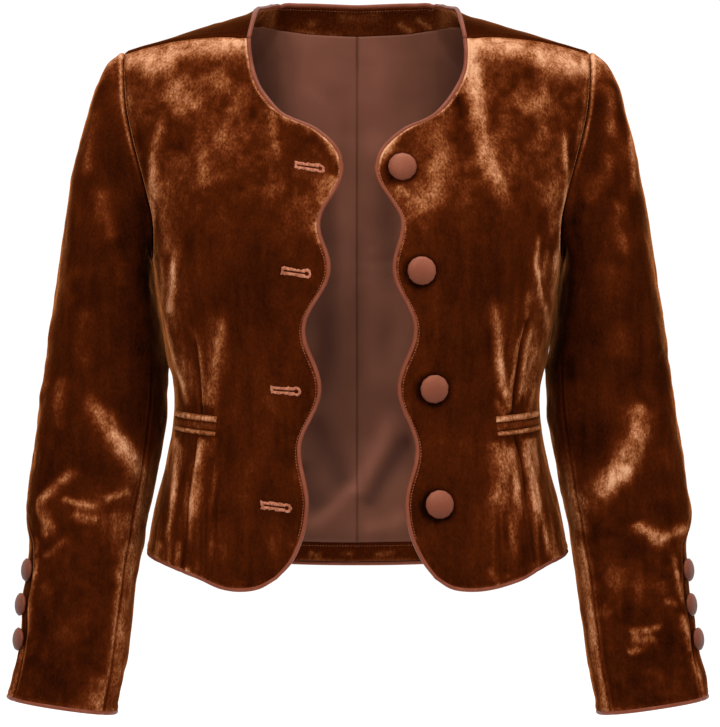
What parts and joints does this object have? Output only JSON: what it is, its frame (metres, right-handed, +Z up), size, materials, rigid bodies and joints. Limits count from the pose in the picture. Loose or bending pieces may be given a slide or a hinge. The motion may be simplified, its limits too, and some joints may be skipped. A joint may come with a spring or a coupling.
{
  "type": "velvet blazer",
  "caption": "Cropped collarless velvet blazer in worn shape, hollow, with open scalloped fronts, satin piping, welt pockets and covered buttons.",
  "frame": {"origin": "on the shoulder line at the neck, on the middle plane, where the wearer's shoulders hold it up", "axes": "+X towards the wearer's left (buttons), +Y towards the back, +Z up"},
  "size_m": [0.5852, 0.219, 0.6041],
  "materials": {
    "velvet": "crushed cotton velvet, rust brown",
    "lining": "brown satin lining",
    "piping": "satin piping",
    "button": "satin covered button",
    "thread": "worked buttonhole thread"
  },
  "bodies": {
    "root": {"front_right": "velvet", "front_left": "velvet", "back": "velvet", "facing_back_neck": "velvet", "facing_back_hem": "velvet", "lining_back_right": "lining", "lining_back_left": "lining", "piping_front_right": "piping", "piping_front_left": "piping", "piping_back_neck": "piping", "piping_back_hem": "piping", "sleeve_top_right": "velvet", "sleeve_under_right": "velvet", "piping_cuff_right": "piping", "sleeve_top_left": "velvet", "sleeve_under_left": "velvet", "piping_cuff_left": "piping", "front_button_1": "button", "front_button_2": "button", "front_button_3": "button", "front_button_4": "button", "cuff_button_right_1": "button", "cuff_button_right_2": "button", "cuff_button_right_3": "button", "cuff_button_left_1": "button", "cuff_button_left_2": "button", "cuff_button_left_3": "button", "buttonhole_1": "thread", "buttonhole_2": "thread", "buttonhole_3": "thread", "buttonhole_4": "thread", "pocket_jet_upper_right": "velvet", "pocket_welt_right": "velvet", "pocket_jet_lower_right": "velvet", "pocket_jet_upper_left": "velvet", "pocket_welt_left": "velvet", "pocket_jet_lower_left": "velvet"}
  },
  "joints": []
}
